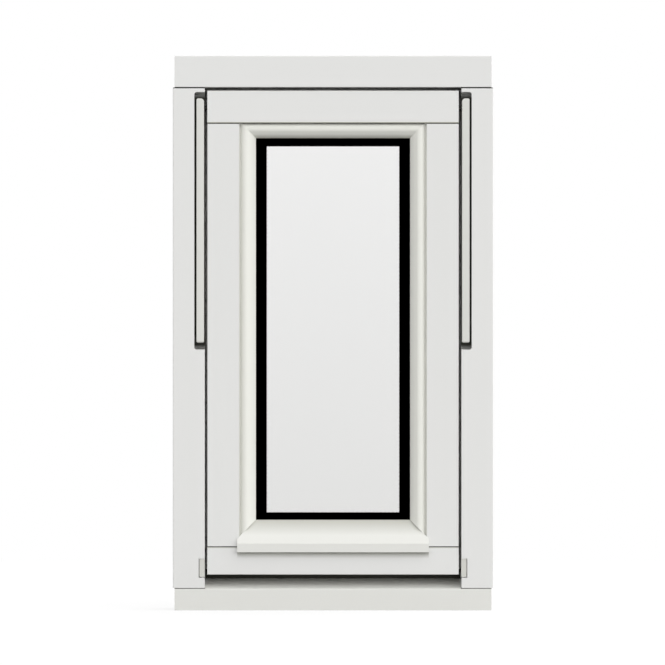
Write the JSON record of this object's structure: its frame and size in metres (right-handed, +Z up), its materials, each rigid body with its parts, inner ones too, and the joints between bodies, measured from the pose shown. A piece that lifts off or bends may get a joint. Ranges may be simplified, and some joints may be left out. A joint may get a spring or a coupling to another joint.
{
  "type": "top swing window",
  "caption": "Small white painted timber top swing window, shut: deep rebated frame, glazed sash with moulded beads and a weather bar, swing arms let into the jambs.",
  "frame": {"origin": "centre of the sill's underside, half way through the frame's depth", "axes": "+X to the right seen from outside, +Y from outside into the room, +Z up"},
  "size_m": [0.488, 0.12, 0.845],
  "materials": {
    "painted_timber": "satin",
    "clear_glass": "polished",
    "spacer_black": "matte",
    "glazing_rubber": "matte",
    "seal_rubber": "matte",
    "arm_finish": "satin",
    "pin_steel": "satin",
    "guide_plastic": "matte",
    "handle_metal": "satin"
  },
  "bodies": {
    "root": {"frame_head": "painted_timber", "frame_sill": "painted_timber", "frame_jamb_left": "painted_timber", "frame_jamb_right": "painted_timber", "sash_top_rail": "painted_timber", "sash_bottom_rail": "painted_timber", "sash_stile_left": "painted_timber", "sash_stile_right": "painted_timber", "bead_top": "painted_timber", "bead_left": "painted_timber", "bead_right": "painted_timber", "bead_bottom": "painted_timber", "outer_pane": "clear_glass", "inner_pane": "clear_glass", "spacer_top": "spacer_black", "spacer_bottom": "spacer_black", "spacer_left": "spacer_black", "spacer_right": "spacer_black", "outer_gasket": "glazing_rubber", "inner_tape": "glazing_rubber", "seal_top": "seal_rubber", "seal_bottom": "seal_rubber", "seal_left": "seal_rubber", "seal_right": "seal_rubber", "swing_arm_left": "arm_finish", "swing_arm_right": "arm_finish", "arm_pins_left": "pin_steel", "arm_pins_right": "pin_steel", "guide_block_left": "guide_plastic", "guide_block_right": "guide_plastic", "handle_rose": "handle_metal", "handle_neck": "handle_metal", "handle_lever": "handle_metal"}
  },
  "joints": []
}
